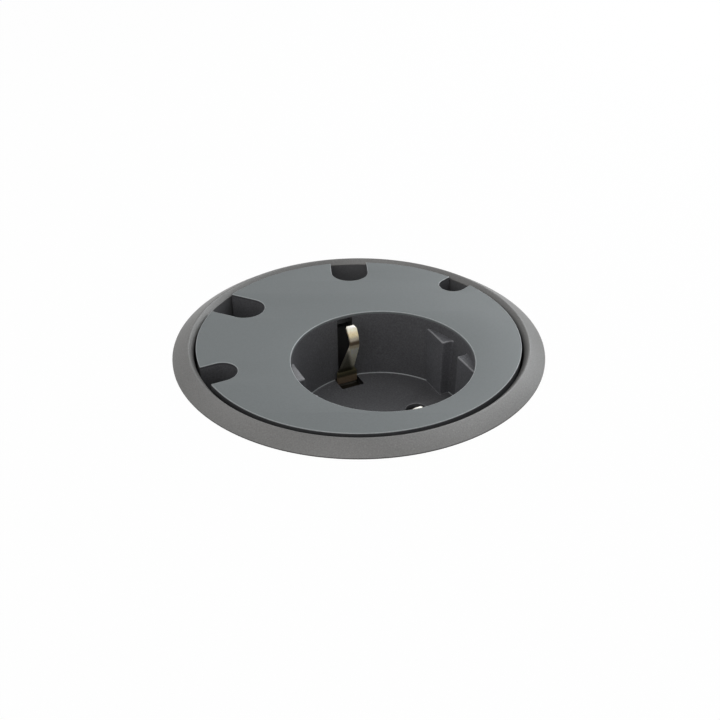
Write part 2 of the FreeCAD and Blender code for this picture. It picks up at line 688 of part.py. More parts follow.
def pin_contact(x):
    """Forked spring contact that grips a pin between two leaves, with a tail to its terminal."""
    pinch_y = CONTACT_PINCH / 2 + CONTACT_T / 2
    mouth_y = CONTACT_MOUTH / 2
    heel_y = CONTACT_HEEL / 2
    leaf = [
        (mouth_y, FLOOR_UNDER - FIT_GAP - CONTACT_T / 2),
        (pinch_y, FLOOR_UNDER - CONTACT_PINCH_BELOW),
        (heel_y, FORK_BASE_Z + CONTACT_HEEL / 2),
        (heel_y, FORK_BASE_Z),
    ]
    path = leaf + [(-y, z) for y, z in reversed(leaf)]
    fork = strip(path, [CONTACT_BEND] * (len(path) - 2), CONTACT_T, CONTACT_W, x)
    tail_path = [
        (CONTACT_TAIL_Y, FORK_BASE_Z), (CONTACT_TAIL_Y, TAIL_Z), (terminal_end(x) + FIT_GAP, TAIL_Z),
    ]
    tail = strip(tail_path, [CONTACT_BEND], CONTACT_T, CONTACT_TAIL_W, x)
    return in_socket(fork.fuse(tail).removeSplitter())


def terminal_end(x):
    """Where a terminal's outer end lies along Y, with room to the housing at its outer corner."""
    reach = BASE_BORE_R - TERMINAL_ROOM
    return -math.sqrt(reach ** 2 - (abs(x) + TERMINAL_W / 2) ** 2)


def terminal(x):
    """Clamp body with a tunnel for the wire and a tapped floor for its screw."""
    y0 = terminal_end(x)
    y1 = y0 + TERMINAL_L
    half = TERMINAL_W / 2
    body = block(x - half, x + half, y0, y1, TERMINAL_UNDER, TERMINAL_TOP)
    tunnel_x = half - TERMINAL_SIDE
    tunnel = block(
        x - tunnel_x, x + tunnel_x, y0 - PAST, y1 + PAST,
        TERMINAL_UNDER + TERMINAL_FLOOR, TERMINAL_TOP - TERMINAL_ROOF,
    )
    tapped = rod(TERMINAL_SCREW_D / 2 + THREAD_GAP, TERMINAL_UNDER - PAST,
                 TERMINAL_UNDER + TERMINAL_FLOOR, x, y0 + TERMINAL_L / 2)
    return in_socket(body.cut([tunnel, tapped]))


def terminal_screws():
    """The three clamp screws, opened for wiring."""
    length = TERMINAL_SCREW_OUT + TERMINAL_FLOOR + TERMINAL_SCREW_IN
    seat = TERMINAL_UNDER - TERMINAL_SCREW_OUT
    screws = []
    for x in (-PIN_X, 0.0, PIN_X):
        one = screw(TERMINAL_SCREW_HEAD_D, TERMINAL_SCREW_HEAD_H, TERMINAL_SCREW_D, length)
        one.translate(Vector(x, terminal_end(x) + TERMINAL_L / 2, seat))
        screws.append(in_socket(one))
    return Part.makeCompound(screws)


def contact_carrier():
    """Insulating block under the floor: two pin chambers, the bow's groove and a wire pocket."""
    body = rod(CARRIER_R, CARRIER_UNDER, FLOOR_UNDER)
    groove = block(-GROOVE_W / 2, GROOVE_W / 2, -CARRIER_R, CARRIER_R, FLOOR_UNDER - GROOVE_DEPTH,
                   FLOOR_UNDER + PAST)
    cuts = [groove]
    for side in (-1, 1):
        x = side * PIN_X
        half_x, half_y = CHAMBER_X / 2, CHAMBER_Y / 2
        cuts.append(block(x - half_x, x + half_x, -half_y, half_y, CHAMBER_FLOOR, FLOOR_UNDER + PAST))
        cuts.append(tail_slot(x, CONTACT_TAIL_Y, CONTACT_TAIL_W, CHAMBER_FLOOR + PAST))
    cuts.append(tail_slot(0.0, STRAP_DROP_Y, STRAP_W, FLOOR_UNDER))
    strap_half = STRAP_W / 2 + SLOT_GAP
    foot_low = STRAP_DROP_Y - CONTACT_BEND - SLOT_GAP
    foot_under = STRAP_Z - CONTACT_T / 2 - RIVET_HEAD_H - SLOT_GAP
    cuts.append(block(-strap_half, strap_half, foot_low, STRAP_FOOT_Y + SLOT_GAP, foot_under,
                      FLOOR_UNDER + PAST))
    pocket = rod(CARRIER_R - WIRE_POCKET_WALL, CARRIER_UNDER - PAST, FLOOR_UNDER - WIRE_POCKET_ROOF)
    pocket = pocket.common(block(-CARRIER_R, CARRIER_R, WIRE_POCKET_Y, CARRIER_R,
                                 CARRIER_UNDER - PAST, FLOOR_UNDER))
    cuts.append(pocket)
    body = body.cut(cuts)
    y0 = terminal_end(PIN_X)
    y1 = y0 + TERMINAL_L
    for side in (-1, 1):
        x = side * PIN_X / 2
        rib = block(x - BARRIER_T / 2, x + BARRIER_T / 2, y0, y1, CARRIER_UNDER - BARRIER_H, CARRIER_UNDER)
        body = body.fuse(rib)
    return in_socket(body.removeSplitter())


def tail_slot(x, y, width, top):
    """Slot through the carrier's web for a tail or strap, wide enough for its lower bend."""
    half = width / 2 + SLOT_GAP
    y0 = y - CONTACT_T / 2 - CONTACT_BEND
    return block(x - half, x + half, y0, y + CONTACT_T / 2 + SLOT_GAP, CARRIER_UNDER - PAST, top)


def rear_housing():
    """Stepped tube round the well and the carrier, with three screw lugs and two pillars."""
    points = [
        (HOUSING_BORE_R, COLLAR_UNDER), (HOUSING_BORE_R, SHELF_Z), (BASE_BORE_R, SHELF_Z),
        (BASE_BORE_R, HOUSING_UNDER), (BASE_R, HOUSING_UNDER),
        (BASE_R, SHELF_Z - HOUSING_WALL - HOUSING_STEP), (HOUSING_R, SHELF_Z - HOUSING_WALL),
        (HOUSING_R, COLLAR_UNDER),
    ]
    body = turned(points)
    for side in (-1, 1):
        x = side * PILLAR_X
        pillar = rod(PILLAR_R, HOUSING_UNDER, SHELF_Z, x, PILLAR_Y)
        outward = block(min(x, side * BASE_BORE_R), max(x, side * BASE_BORE_R), PILLAR_Y - PILLAR_R,
                        PILLAR_Y + PILLAR_R, HOUSING_UNDER, SHELF_Z)
        pillar = pillar.fuse(outward).common(rod(BASE_R, HOUSING_UNDER, SHELF_Z))
        tip = HOUSING_UNDER - COVER_T + SCREW_LENGTH + BORE_BEYOND_TIP
        body = body.fuse(pillar).cut(rod(SCREW_R + THREAD_GAP, HOUSING_UNDER - PAST, tip, x, PILLAR_Y))
    body = in_socket(body)
    for x, y, degrees in lug_places():
        web = block(HOUSING_BORE_R + HOUSING_WALL / 2, LUG_CENTRE_R, -LUG_WEB_W / 2, LUG_WEB_W / 2,
                    LUG_UNDER, LUG_TOP)
        web.rotate(ORIGIN, UP, degrees)
        web.translate(Vector(SOCKET_X, SOCKET_Y, 0))
        body = body.fuse([rod(LUG_R, LUG_UNDER, LUG_TOP, x, y), web])
        body = body.cut(rod(SCREW_R + SCREW_HOLE_GAP, LUG_UNDER - PAST, LUG_TOP + PAST, x, y))
    return body.removeSplitter()


def bottom_cover():
    """Round cover that closes the housing, with a locating spigot and the cable inlet."""
    cover = rod(BASE_R, COVER_UNDER, HOUSING_UNDER)
    spigot_r = BASE_BORE_R - SPIGOT_GAP
    spigot = rod(spigot_r, HOUSING_UNDER, HOUSING_UNDER + SPIGOT_H)
    spigot = spigot.cut(rod(spigot_r - SPIGOT_W, HOUSING_UNDER, HOUSING_UNDER + SPIGOT_H))
    room = PILLAR_R + SPIGOT_GAP
    for side in (-1, 1):
        x0, x1 = sorted((side * (PILLAR_X - room), side * BASE_R))
        gap = block(x0, x1, PILLAR_Y - room, PILLAR_Y + room, HOUSING_UNDER, HOUSING_UNDER + SPIGOT_H)
        spigot = spigot.cut(gap)
    cover = cover.fuse(spigot)
    for side in (-1, 1):
        cover = cover.cut(rod(SCREW_R + SCREW_HOLE_GAP, COVER_UNDER - PAST, HOUSING_UNDER + PAST,
                              side * PILLAR_X, PILLAR_Y))
    cover = cover.cut(rod(GROMMET_R, COVER_UNDER - PAST, HOUSING_UNDER + PAST, 0, INLET_Y))
    return in_socket(cover.removeSplitter())


def inlet_grommet():
    """Rubber grommet snapped into the cover, its groove gripping the cover's edge."""
    flange_r = GROMMET_R + GROMMET_FLANGE_W
    top_r = GROMMET_R + GROMMET_TOP_W
    nose_r = CABLE_R + GROMMET_NOSE_WALL
    top = HOUSING_UNDER + GROMMET_FLANGE_T
    under = COVER_UNDER - GROMMET_FLANGE_T
    points = [
        (CABLE_R, top), (top_r, top), (top_r, HOUSING_UNDER), (GROMMET_R, HOUSING_UNDER),
        (GROMMET_R, COVER_UNDER), (flange_r, COVER_UNDER), (flange_r, under),
        (nose_r + GROMMET_NOSE_SLOPE, under), (nose_r, under - GROMMET_NOSE),
        (CABLE_R, under - GROMMET_NOSE),
    ]
    grommet = turned(points, {1: GROMMET_ROUND, 6: GROMMET_ROUND})
    grommet.translate(Vector(0, INLET_Y, 0))
    return in_socket(grommet)


def screws_at(places, seat):
    """A group of equal screws, each with its head's seat at one height."""
    screws = []
    for x, y in places:
        one = self_tapper()
        one.translate(Vector(x, y, seat))
        screws.append(one)
    return Part.makeCompound(screws)


def cover_screws():
    places = [(-PILLAR_X, PILLAR_Y), (PILLAR_X, PILLAR_Y)]
    return in_socket(screws_at(places, COVER_UNDER))


def build():
    """Every piece by the name of its node."""
    return {
        "trim_ring": trim_ring(),
        "mounting_sleeve": mounting_sleeve(),
        "cover_plate": cover_plate(),
        "insert_body": insert_body(),
        "insert_screws": screws_at([p[:2] for p in insert_places()], -SLEEVE_DEPTH),
        "socket_well": socket_well(),
        "earth_bow": earth_bow(),
        "earth_strap": earth_strap(),
        "earth_rivet": earth_rivet(),
        "contact_carrier": contact_carrier(),
        "live_contact": pin_contact(PIN_X),
        "neutral_contact": pin_contact(-PIN_X),
        "live_terminal": terminal(PIN_X),
        "neutral_terminal": terminal(-PIN_X),
        "earth_terminal": terminal(0.0),
        "terminal_screws": terminal_screws(),
        "rear_housing": rear_housing(),
        "housing_screws": screws_at([p[:2] for p in lug_places()], LUG_UNDER),
        "bottom_cover": bottom_cover(),
        "cover_screws": cover_screws(),
        "inlet_grommet": inlet_grommet(),
    }


def main():
    os.makedirs("parts", exist_ok=True)
    for name, shape in build().items():
        shape.exportStep("parts/" + name + ".step")
        sizes = shape.BoundBox
        print(name, "solids", len(shape.Solids), "valid", shape.isValid(), "mm3", round(shape.Volume, 1),
              "z", round(sizes.ZMin, 2), round(sizes.ZMax, 2))


main()
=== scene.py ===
import json
import math

import bmesh
import bpy
from mathutils import Euler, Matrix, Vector, geometry


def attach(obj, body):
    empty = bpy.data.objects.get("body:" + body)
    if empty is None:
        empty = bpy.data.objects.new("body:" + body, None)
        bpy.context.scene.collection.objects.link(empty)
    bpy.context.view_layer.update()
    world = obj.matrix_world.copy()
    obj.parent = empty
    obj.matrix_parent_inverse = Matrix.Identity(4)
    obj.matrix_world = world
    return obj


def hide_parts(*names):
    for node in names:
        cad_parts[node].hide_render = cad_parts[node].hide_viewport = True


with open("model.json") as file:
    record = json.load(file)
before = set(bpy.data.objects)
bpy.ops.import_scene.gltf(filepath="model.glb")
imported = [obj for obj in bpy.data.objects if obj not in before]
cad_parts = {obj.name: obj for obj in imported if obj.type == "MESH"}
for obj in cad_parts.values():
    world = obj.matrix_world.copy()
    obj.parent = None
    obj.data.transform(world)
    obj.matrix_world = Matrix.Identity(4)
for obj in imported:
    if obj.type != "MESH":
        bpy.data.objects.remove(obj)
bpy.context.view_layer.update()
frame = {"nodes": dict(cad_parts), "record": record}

# The in-desk power module, dressed for its picture. Lengths are in millimetres and go through MM,
# because the frame is in metres. X runs to the viewer's right, Y away from the viewer and Z up.
MM = 0.001
BODY = "root"

# Sizes that repeat those of the solids: the trim ring, sleeve and cover plate
PLATE_R = 38.1
PLATE_TOP = 2.2
PLATE_T = 0.6
PLATE_GAP = 0.6
SLEEVE_WALL = 1.0
SLEEVE_FLANGE_W = 1.5
SLEEVE_FLANGE_T = 1.0
CUTOUT_CLEARANCE = 0.3
FLANGE_LAP = 3.6
FLANGE_EDGE_H = 0.25
RIDGE_PAST_SLEEVE = 0.1
RIDGE_Z = 2.6
RIDGE_ROUND = 0.45
BEVEL_EDGE_H = 0.22
TRIM_GAP = 0.1

# The insert
DECK_T = 1.5
DECK_GAP = 0.1
SKIRT_WALL = 1.5
SKIRT_LOW = -14.5
CHANNEL_WALL = 1.2

# The socket: its place, the well's own sizes, and the guide flats, clip slots and pin holes
SOCKET = (5.483, -9.651)
SOCKET_TURN = 25.7
MOUTH_R = 20.9
WELL_TOP_STEP = 0.05
WELL_TAPER = 0.4
WELL_WALL = 1.4
WELL_DEPTH = 17.9
WELL_FLOOR_T = 1.2
WELL_CORNER = 0.4
COLLAR_W = 1.8
COLLAR_T = 2.0
FLATS_IN = 3.15
FLATS_BELOW = 2.85
FLATS_ROUND = 0.4
GUIDE_SLOT_W = 6.6
GUIDE_SLOT_ROUND = 1.2
EARTH_SLOT_W = 4.0
EARTH_OPENING_W = 6.0
EARTH_OPENING_FROM = 15.8
PIN_X = 9.5
PIN_HOLE_R = 2.7

# Worked-out sizes, from the plate outwards and down, and from the socket's mouth
SLEEVE_BORE_R = PLATE_R + PLATE_GAP
SLEEVE_R = SLEEVE_BORE_R + SLEEVE_WALL
SLEEVE_FLANGE_R = SLEEVE_R + SLEEVE_FLANGE_W
CUTOUT_R = SLEEVE_R + CUTOUT_CLEARANCE
FLANGE_R = CUTOUT_R + FLANGE_LAP
RIDGE_R = SLEEVE_R + RIDGE_PAST_SLEEVE
BEVEL_Z = SLEEVE_FLANGE_T + BEVEL_EDGE_H
SKIRT_R = PLATE_R - SKIRT_WALL
PLATE_UNDER = PLATE_TOP - PLATE_T
DECK_UNDER = PLATE_UNDER - DECK_T
WELL_TOP_R = MOUTH_R - WELL_TOP_STEP
WELL_R = MOUTH_R + WELL_WALL
COLLAR_R = WELL_R + COLLAR_W
COLLAR_UNDER = DECK_UNDER - COLLAR_T
FLOOR_R = MOUTH_R - WELL_TAPER
FLOOR_Z = PLATE_TOP - WELL_DEPTH
FLOOR_UNDER = FLOOR_Z - WELL_FLOOR_T
FLAT_X = MOUTH_R - FLATS_IN
FLAT_TOP = PLATE_TOP - FLATS_BELOW

# Cable notches: direction in degrees, width, and distance of the inner end from the plate's middle
NOTCHES = [(46.0, 6.8, 31.5), (94.4, 9.6, 27.5), (155.4, 9.4, 26.2), (207.0, 7.5, 30.6)]

# Edges and openings that look finer, softer or larger in the photograph than on the solids
FLANGE_EDGE_ROUND = 0.05
BEVEL_FOOT_ROUND = 0.12
RIM_ROUND = 0.16
MOUTH_ROUND = 0.2
WELL_TOP_ROUND = 0.08
EARTH_SLOT_TOP = 1.3
OPENING_ROUND = 0.35
PIN_HOLE_WIDER = 0.1
PIN_HOLE_LEAD = 0.14
FLAT_TOP_ROUND = 0.32
FLAT_FOOT_ROUND = 0.12

# The earth bow's strip: its thickness, the round of its edges and the gap over its bridge
EARTH_T = 0.8
EARTH_EDGE_ROUND = 0.14
BOW_GAP = 0.05
BOW_Z = FLOOR_UNDER - BOW_GAP - EARTH_T / 2

# Middle line of the back clip: how far its tip, curl, knee and foot lie in from the mouth and below
# the plate's top, and the bends of its curl, knee and foot and of the corner at the bridge
CLIP_POINTS = [(3.6, 0.9), (5.2, 3.1), (6.0, 5.1), (1.2, 14.6)]
CLIP_BENDS = [5.0, 2.6, 3.0, 1.2]
CLIP_LINE = [(MOUTH_R - inwards, PLATE_TOP - below) for inwards, below in CLIP_POINTS]
CLIP_LINE.append((CLIP_LINE[-1][0], BOW_Z))
CLIP_TIP_Z = CLIP_LINE[0][1]

# The front clip repeats the back one, but its points above a height stand lower by a drop
UPPER_PART_FROM = -5.0
FRONT_CLIP_DROP = 2.1

# Width of a clip by height, which flares at its foot, the length along its curl for each millimetre
# of height, and the round of its tip
CLIP_FOOT_W = 5.4
CLIP_WIDTHS = [(CLIP_TIP_Z, 2.6), (CLIP_LINE[2][1], 2.4), (-11.2, 3.6), (-13.6, CLIP_FOOT_W)]
CURL_SLANT = 1.25
CLIP_TIP_ROUND = 1.05

# Desk top around the module, which lies just under the flange
DESK_HALF = 1500.0
DESK_Z = -0.02

# Fineness of the meshes
SEGMENTS = 288
ARC_STEP = 360 / SEGMENTS
SHARP_ANGLE = 32
SAME_POINT = 1e-5
NEAR = 1e-6
MITRE_LIMIT = 0.3

# Reach of the well's cutters: past its floor, past its collar, and past the inside of its wall
PAST = 1.0
PAST_COLLAR = 0.2
PAST_WALL = 0.41

# How deep a flat's hollow foot is sunk into the floor, and where the middle of a lead-in's round
# lies, as a share of its radius
SUNK = 0.01
ROUND_MIDDLE = 0.3

# What tells faces apart: how near the faces of a rim lie to the plate's radius, the part of the
# well's corner that gets a painted highlight line, and the height that a flat's rounds, painted as
# highlights, stay under
RIM_WITHIN = 0.05
CORNER_LINE = (0.25, 0.75)
LOWEST_WALL = 1.0

# Finishes of each piece that is made here, its own one first
PIECE_FINISHES = {
    "trim_ring": ["ring_metal", "ring_foot_painted_shadow"],
    "cover_plate": ["plate_plastic", "plate_edge_painted_highlight", "rim_shade"],
    "insert_body": ["well_plastic", "rim_shade", "housing_plastic"],
    "socket_well": ["well_plastic", "well_edge_painted_highlight", "housing_plastic", "flat_painted_light", "plate_edge_painted_highlight",
                    "floor_painted_shade"],
    "earth_bow": ["earth_brass"],
}

# Colour of the clips by height, from their feet to their tips: the brass times painted highlights (the
# values over one) and painted shade (the dark stops at the knee, above the foot and under the floor)
CLIP_PAINTED_LIGHT = [
    (-16.6, (0.02, 0.02, 0.02)), (-16.2, (0.40, 0.33, 0.31)), (-15.0, (0.46, 0.39, 0.36)),
    (-14.3, (0.13, 0.13, 0.11)), (-12.8, (0.26, 0.27, 0.21)), (-10.8, (1.30, 1.42, 1.55)),
    (-4.4, (1.70, 1.85, 2.15)), (-3.3, (1.00, 0.98, 1.00)), (-2.6, (0.27, 0.23, 0.22)),
    (-2.2, (0.25, 0.21, 0.20)), (-1.5, (0.80, 0.82, 0.92)), (-0.4, (1.30, 1.27, 1.12)),
    (0.5, (1.60, 1.66, 1.85)), (CLIP_TIP_Z, (1.90, 2.05, 2.50)),
]

# Painted sheen of the clips above their feet: painted shade on the left and full on the right of a
# leaning line
CLIP_FOOT_TOP = -13.1
SHEEN_LEAN = 0.34
SHEEN_FROM_TO = (-3.6 * MM, -2.3 * MM)
SHEEN_DIM = 0.22

# Heights between which the contact carrier's top is painted dark as shade, and how dark
CARRIER_FROM_TO = (-21.0 * MM, -20.0 * MM)
CARRIER_DARK = 0.05

# Grain of every finish: share of the fine noise in the colour, the stops of that colour and of its
# glints, the size and range of the broad noise, how far it changes the gloss, and the relief
FINE_SHARE = 0.75
DARK_AT = 0.35
LIGHT_AT = 0.65
GLINT_AT = 0.74
BROAD_SCALE = 60.0
BROAD_RANGE = (0.3, 0.7)
ROUGHNESS_RANGE = 0.08
RELIEF_STRENGTH = 0.35

# Desk and world: the desk's colour and the share of its own light, the soft light below and above
# the horizon and its grey, and the share of full white that reflections see
DESK_WHITE = (0.86, 0.86, 0.86, 1)
DESK_GLOW = 0.975
HORIZON = (-0.05, 0.05)
SOFT_LIGHT = (0.04, 0.44)
SOFT_GREY = (0.8, 0.8, 0.8, 1)
REFLECTED_WHITE = 0.8
WHITE = (1, 1, 1, 1)

# The photograph's camera: degrees above the desk, distance, and the point that it is aimed at
ELEVATION = 32.84
DISTANCE = 207.46
AIM = (0.281, -7.499, 0.0)

# Lamps: name, place and size in metres, power in watts and colour
LAMPS = [
    ("key", (0.27, 0.34, 0.29), 0.38, 1.08, (0.96, 1.0, 1.03)),
    ("high", (0.26, 0.08, 0.45), 0.3, 0.45, (0.96, 1.0, 1.03)),
    ("top", (-0.10, -0.30, 0.58), 0.4, 0.40, (1.0, 1.0, 1.0)),
    ("left", (-0.30, -0.53, 0.33), 0.4, 0.64, (1.0, 1.0, 1.0)),
    ("back", (-0.34, 0.16, 0.46), 0.25, 0.23, (1.0, 1.0, 1.0)),
]


# Outlines


def rectangle(x0, x1, y0, y1):
    """Outline of a rectangle."""
    return [(x0, y0), (x1, y0), (x1, y1), (x0, y1)]


def rotated(x, y, turn):
    """A point turned about the origin by an angle in radians."""
    return x * math.cos(turn) - y * math.sin(turn), x * math.sin(turn) + y * math.cos(turn)


def corner_arc(before, at, after, radius, steps):
    """Points of the round of a radius at one point of an outline."""
    back = (Vector(before) - Vector(at)).normalized()
    ahead = (Vector(after) - Vector(at)).normalized()
    half = back.angle(ahead) / 2
    centre = Vector(at) + (back + ahead).normalized() * radius / math.sin(half)
    start = Vector(at) + back * radius / math.tan(half) - centre
    end = Vector(at) + ahead * radius / math.tan(half) - centre
    sweep = start.angle(end)
    side = 1 if start.x * end.y - start.y * end.x > 0 else -1
    points = []
    for i in range(steps + 1):
        x, y = rotated(start.x, start.y, side * sweep * i / steps)
        points.append((centre.x + x, centre.y + y))
    return points


def rounded(points, rounds, steps):
    """Closed outline with a round at each point that has a radius in rounds."""
    result = []
    for i, point in enumerate(points):
        if i in rounds:
            after = points[(i + 1) % len(points)]
            result += corner_arc(points[i - 1], point, after, rounds[i], steps)
        else:
            result.append(point)
    return result


def arc(radius, start, end, step=ARC_STEP, centre=(0.0, 0.0)):
    """Points along a circle from one angle to another, in degrees, both ends included."""
    count = max(2, round(abs(end - start) / step))
    points = []
    for i in range(count + 1):
        turn = math.radians(start + (end - start) * i / count)
        points.append((centre[0] + radius * math.cos(turn), centre[1] + radius * math.sin(turn)))
    return points


def circle(radius, centre=(0.0, 0.0), step=ARC_STEP):
    """Closed outline of a circle."""
    return arc(radius, 0, 360, step, centre)[:-1]


def rim_with_notches(radius, grown):
    """Outline of a disc with the four U-shaped notches, each made larger all round by grown."""
    notches = []
    for direction, width, inner_end in NOTCHES:
        half = width / 2 + grown
        spread = math.degrees(math.asin(half / radius))
        notches.append((direction, half, inner_end + width / 2, spread))
    points = []
    for i, (direction, half, middle, spread) in enumerate(notches):
        start = (radius * math.cos(math.radians(spread)), -half)
        for out, aside in [start] + arc(half, 270, 90, step=4, centre=(middle, 0.0)):
            points.append(rotated(out, aside, math.radians(direction)))
        next_direction, _, _, next_spread = notches[(i + 1) % len(notches)]
        full_turn = 360 if i + 1 == len(notches) else 0
        points += arc(radius, direction + spread, next_direction - next_spread + full_turn)[:-1]
    return points


def offset_loop(points, distance):
    """The closed outline moved to its left by a distance, with mitred corners."""
    result = []
    count = len(points)
    for i in range(count):
        before, at, after = Vector(points[i - 1]), Vector(points[i]), Vector(points[(i + 1) % count])
        along_in, along_out = (at - before).normalized(), (after - at).normalized()
        left_in, left_out = Vector((-along_in.y, along_in.x)), Vector((-along_out.y, along_out.x))
        mitre = (left_in + left_out).normalized()
        moved = at + mitre * distance / max(MITRE_LIMIT, mitre.dot(left_in))
        result.append((moved.x, moved.y))
    return result


def round_over(outline, top, radius, side, steps=5):
    """Loops that roll an upright wall over into a flat top; side is 1 where the body is inside."""
    loops = []
    for i in range(steps + 1):
        turn = math.pi / 2 * i / steps
        inwards = side * radius * (1 - math.cos(turn))
        loops.append((offset_loop(outline, inwards), top - radius + radius * math.sin(turn)))
    return loops


# Meshes


def finish_number(node, finish):
    """Number by which the faces of a piece name one of its finishes."""
    return PIECE_FINISHES[node].index(finish)


def finish_mesh(name, bm, finishes=(), sharp=SHARP_ANGLE):
    """A mesh object from a bmesh in millimetres, shaded smooth but for its sharp edges."""
    bmesh.ops.remove_doubles(bm, verts=bm.verts, dist=SAME_POINT)
    bmesh.ops.recalc_face_normals(bm, faces=bm.faces)
    for vert in bm.verts:
        vert.co *= MM
    mesh = bpy.data.meshes.new(name)
    bm.to_mesh(mesh)
    bm.free()
    for finish in finishes:
        mesh.materials.append(finish)
    smooth(mesh, sharp)
    piece = bpy.data.objects.new(name, mesh)
    bpy.context.scene.collection.objects.link(piece)
    return piece


def smooth(mesh, sharp=SHARP_ANGLE):
    """Shades a mesh smooth but for the edges sharper than an angle in degrees."""
    mesh.shade_smooth()
    mesh.set_sharp_from_angle(angle=math.radians(sharp))


def bridge(bm, low, high):
    """Faces between two rings of vertices, where a ring of one vertex is a point on the axis."""
    count = max(len(low), len(high))
    if count == 1:
        return
    for i in range(count):
        j = (i + 1) % count
        if len(low) == 1:
            bm.faces.new((low[0], high[j], high[i]))
        elif len(high) == 1:
            bm.faces.new((low[i], low[j], high[0]))
        else:
            bm.faces.new((low[i], low[j], high[j], high[i]))


def add_lathe(bm, profile, segments=SEGMENTS, centre=(0.0, 0.0)):
    """Adds a body of revolution from a closed outline of (radius, height) points."""
    rings = []
    for radius, height in profile:
        if radius < NEAR:
            points = [centre]
        else:
            points = circle(radius, centre, 360 / segments)
        rings.append([bm.verts.new((x, y, height)) for x, y in points])
    for k, ring in enumerate(rings):
        bridge(bm, ring, rings[(k + 1) % len(rings)])


def add_wall(bm, loops):
    """Bridges loops of (points, height), each with as many points, and returns their vertices."""
    rings = [[bm.verts.new((x, y, height)) for x, y in points] for points, height in loops]
    for low, high in zip(rings, rings[1:]):
        bridge(bm, low, high)
    return rings


def add_fill(bm, *rings):
    """Fills the flat area between an outer ring of vertices and the rings of its holes.

    Returns the new faces."""
    flat = [[vert.co.copy() for vert in ring] for ring in rings]
    verts = [vert for ring in rings for vert in ring]
    return [bm.faces.new([verts[i] for i in corners]) for corners in geometry.tessellate_polygon(flat)]


def heights(face):
    """Lowest and highest point of a face."""
    levels = [vert.co.z for vert in face.verts]
    return min(levels), max(levels)


def prism(name, outline, low, high, finishes, finish):
    """Upright prism over an outline, all in one of the well's finishes."""
    bm = bmesh.new()
    rings = add_wall(bm, [(outline, low), (outline, high)])
    for ring in rings:
        add_fill(bm, ring)
    for face in bm.faces:
        face.material_index = finish_number("socket_well", finish)
    return finish_mesh(name, bm, finishes)


def combine(piece, other, operation):
    """Applies a boolean of the other piece to this one, and removes the other piece."""
    modifier = piece.modifiers.new("combine", "BOOLEAN")
    modifier.operation = operation
    modifier.solver = "EXACT"
    modifier.object = other
    bpy.context.view_layer.update()
    evaluated = piece.evaluated_get(bpy.context.evaluated_depsgraph_get())
    mesh = bpy.data.meshes.new_from_object(evaluated)
    piece.modifiers.clear()
    piece.data = mesh
    bpy.data.objects.remove(other)


def into_socket(piece):
    """Turns and moves a piece's mesh from the socket's own frame to its place."""
    turn = Euler((0, 0, math.radians(SOCKET_TURN))).to_matrix().to_4x4()
    turn.translation = Vector((*SOCKET, 0)) * MM
    piece.data.transform(turn)
    return piece


# Trim ring, cover plate and insert


def make_trim_ring(finishes):
    """Flange of the trim ring, with a painted shadow at its foot, where it meets the desk."""
    lap = SLEEVE_FLANGE_R + TRIM_GAP
    points = [
        (lap, 0), (FLANGE_R, 0), (FLANGE_R, FLANGE_EDGE_H), (RIDGE_R, RIDGE_Z),
        (SLEEVE_BORE_R, BEVEL_Z), (SLEEVE_BORE_R, SLEEVE_FLANGE_T), (lap, SLEEVE_FLANGE_T),
    ]
    rounds = {2: FLANGE_EDGE_ROUND, 3: RIDGE_ROUND, 4: BEVEL_FOOT_ROUND}
    bm = bmesh.new()
    add_lathe(bm, rounded(points, rounds, steps=6))
    # Painted shadow: the outermost faces at the foot, where the flange meets the desk, take a dark finish
    for face in bm.faces:
        middle = face.calc_center_median()
        outermost = math.hypot(middle.x, middle.y) > FLANGE_R - 2 * FLANGE_EDGE_ROUND
        if outermost and middle.z < FLANGE_EDGE_H:
            face.material_index = finish_number("trim_ring", "ring_foot_painted_shadow")
    return finish_mesh("trim_ring_finish", bm, finishes)


def make_cover_plate(finishes):
    """Thin cover with rounded edges at its rim, notches and mouth, which are glossier and painted lighter
    as highlights; its outer walls are painted dark as shade.
    """
    rim = rim_with_notches(PLATE_R, 0)
    mouth = circle(MOUTH_R, SOCKET)
    bm = bmesh.new()
    hole = add_wall(bm, [(mouth, PLATE_UNDER)] + round_over(mouth, PLATE_TOP, MOUTH_ROUND, side=-1))
    in_mouth = set(bm.faces)
    outside = add_wall(bm, [(rim, PLATE_UNDER)] + round_over(rim, PLATE_TOP, RIM_ROUND, side=1))
    # Painted highlights on the rounds, and painted shade on the outer walls
    for face in bm.faces:
        if heights(face)[0] > PLATE_UNDER + NEAR:
            face.material_index = finish_number("cover_plate", "plate_edge_painted_highlight")
        elif face not in in_mouth:
            face.material_index = finish_number("cover_plate", "rim_shade")
    add_fill(bm, outside[-1], hole[-1])
    add_fill(bm, outside[0], hole[0])
    return finish_mesh("cover_plate_finish", bm, finishes)


def make_insert_body(finishes):
    """Deck of the insert over its skirt and channel walls, with painted shade at its rim and inside."""
    rim = rim_with_notches(PLATE_R, 0)
    inner = rim_with_notches(SKIRT_R, CHANNEL_WALL)
    mouth = circle(WELL_R + DECK_GAP, SOCKET)
    bm = bmesh.new()
    outside = add_wall(bm, [(rim, SKIRT_LOW), (rim, PLATE_UNDER)])
    # Painted shade: the rim faces take a dark finish
    for face in bm.faces:
        if min(math.hypot(vert.co.x, vert.co.y) for vert in face.verts) > PLATE_R - RIM_WITHIN:
            face.material_index = finish_number("insert_body", "rim_shade")
    outer_faces = set(bm.faces)
    hole = add_wall(bm, [(mouth, DECK_UNDER), (mouth, PLATE_UNDER)])
    inside = add_wall(bm, [(inner, SKIRT_LOW), (inner, DECK_UNDER)])
    # Painted shade: the hole and the inside take the housing's near-black finish
    for face in set(bm.faces) - outer_faces:
        face.material_index = finish_number("insert_body", "housing_plastic")
    add_fill(bm, outside[-1], hole[-1])
    add_fill(bm, inside[-1], hole[0])
    add_fill(bm, outside[0], inside[0])
    return finish_mesh("insert_body_finish", bm, finishes)


# Socket well


